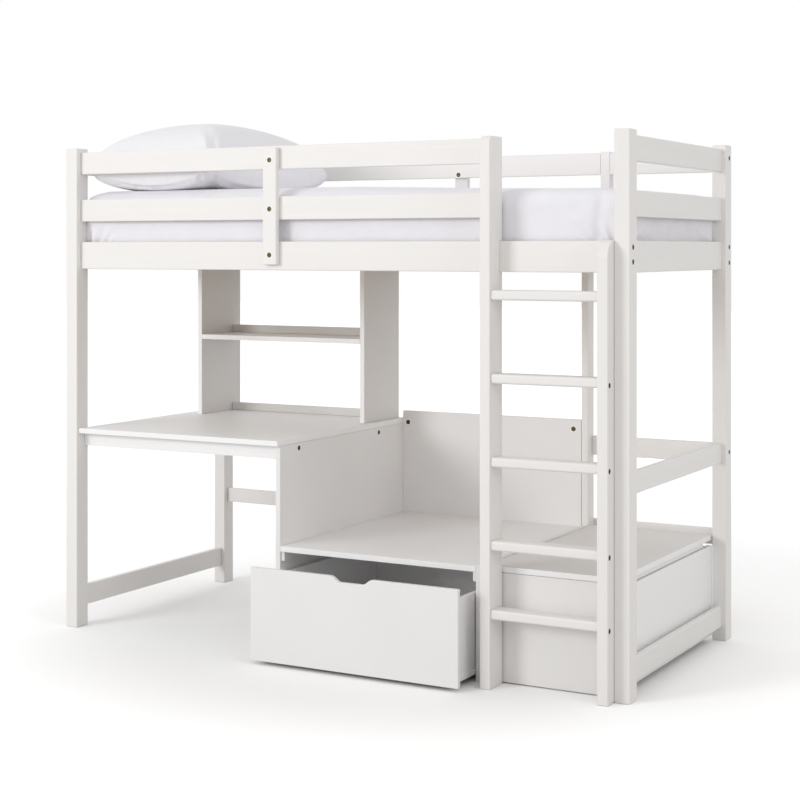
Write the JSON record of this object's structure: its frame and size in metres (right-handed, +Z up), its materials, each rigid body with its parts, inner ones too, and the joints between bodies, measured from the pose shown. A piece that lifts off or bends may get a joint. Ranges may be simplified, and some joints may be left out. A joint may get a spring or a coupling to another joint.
{
  "type": "loft bed",
  "caption": "White timber loft bed: slatted deck with guard rails and ladder over a desk with shelves, a sofa seat with rolling drawer, and a lidded storage box.",
  "frame": {"origin": "on the floor, at the middle of the footprint with the drawer as stored, partly open", "axes": "+X along the bed towards the ladder and storage box, +Y from the front to the back, +Z up"},
  "size_m": [2.08, 1.112, 1.772],
  "materials": {
    "timber_paint": "white satin paint on solid timber",
    "panel_paint": "white satin paint on board",
    "slat_wood": "bare planed pine",
    "mattress_cloth": "white fitted cotton sheet",
    "pillow_cloth": "white cotton pillowcase",
    "wheel_plastic": "dark grey moulded"
  },
  "bodies": {
    "bed": {"post_front_left": "timber_paint", "post_back_left": "timber_paint", "post_front_right": "timber_paint", "post_back_right": "timber_paint", "front_guard_rail_top": "timber_paint", "front_guard_rail_middle": "timber_paint", "front_side_rail": "timber_paint", "front_guard_batten": "timber_paint", "back_guard_rail_top": "timber_paint", "back_guard_rail_top_short": "timber_paint", "back_guard_rail_middle": "timber_paint", "back_side_rail": "timber_paint", "back_guard_batten": "timber_paint", "back_short_post": "timber_paint", "back_upright": "timber_paint", "back_cross_rail": "timber_paint", "back_low_rail": "timber_paint", "left_end_rail_top": "timber_paint", "left_end_rail_middle": "timber_paint", "left_end_rail_bed": "timber_paint", "left_low_rail": "timber_paint", "right_end_rail_top": "timber_paint", "right_end_rail_middle": "timber_paint", "right_end_rail_bed": "timber_paint", "right_cross_rail": "timber_paint", "right_low_rail": "timber_paint", "ladder_stile_long": "timber_paint", "ladder_stile_short": "timber_paint", "ladder_rung_1": "timber_paint", "ladder_rung_2": "timber_paint", "ladder_rung_3": "timber_paint", "ladder_rung_4": "timber_paint", "ladder_rung_5": "timber_paint", "slat_mat": "slat_wood", "mattress": "mattress_cloth", "pillow": "pillow_cloth", "desk_top": "panel_paint", "desk_front_apron": "panel_paint", "desk_side_panel": "panel_paint", "hutch_panel_left": "panel_paint", "hutch_panel_right": "panel_paint", "hutch_shelf": "panel_paint", "hutch_desk_strip": "panel_paint", "seat_board": "panel_paint", "seat_back_panel": "panel_paint", "storage_side_panel": "panel_paint", "storage_front_panel": "panel_paint", "storage_back_panel": "panel_paint", "storage_end_panel": "panel_paint", "storage_bottom": "panel_paint"},
    "drawer": {"drawer_front": "panel_paint", "drawer_side_left": "panel_paint", "drawer_side_right": "panel_paint", "drawer_back": "panel_paint", "drawer_bottom": "panel_paint"},
    "lid": {"storage_lid": "panel_paint"},
    "wheel_front_left": {"drawer_wheel_front_left": "wheel_plastic"},
    "wheel_front_right": {"drawer_wheel_front_right": "wheel_plastic"},
    "wheel_back_left": {"drawer_wheel_back_left": "wheel_plastic"},
    "wheel_back_right": {"drawer_wheel_back_right": "wheel_plastic"}
  },
  "joints": [
    {"name": "drawer_slide", "type": "slide", "parent": "bed", "child": "drawer", "axis": [0, -1, 0], "range_m": [-0.137, 0.35]},
    {"name": "lid_hinge", "type": "hinge", "parent": "bed", "child": "lid", "pos_m": [0.56, 0.05, 0.356], "axis": [0, -1, 0], "range_deg": [0, 90]},
    {"name": "wheel_front_left_roll", "type": "hinge", "parent": "drawer", "child": "wheel_front_left", "pos_m": [-0.107, -0.4497, 0.022], "axis": [1, 0, 0], "continuous": true},
    {"name": "wheel_front_right_roll", "type": "hinge", "parent": "drawer", "child": "wheel_front_right", "pos_m": [0.469, -0.4497, 0.022], "axis": [1, 0, 0], "continuous": true},
    {"name": "wheel_back_left_roll", "type": "hinge", "parent": "drawer", "child": "wheel_back_left", "pos_m": [-0.107, 0.1503, 0.022], "axis": [1, 0, 0], "continuous": true},
    {"name": "wheel_back_right_roll", "type": "hinge", "parent": "drawer", "child": "wheel_back_right", "pos_m": [0.469, 0.1503, 0.022], "axis": [1, 0, 0], "continuous": true}
  ],
  "couplings": [
    {"joint": "wheel_front_left_roll", "follows": "drawer_slide", "rad_per_m": 45.455},
    {"joint": "wheel_front_right_roll", "follows": "drawer_slide", "rad_per_m": 45.455},
    {"joint": "wheel_back_left_roll", "follows": "drawer_slide", "rad_per_m": 45.455},
    {"joint": "wheel_back_right_roll", "follows": "drawer_slide", "rad_per_m": 45.455}
  ]
}
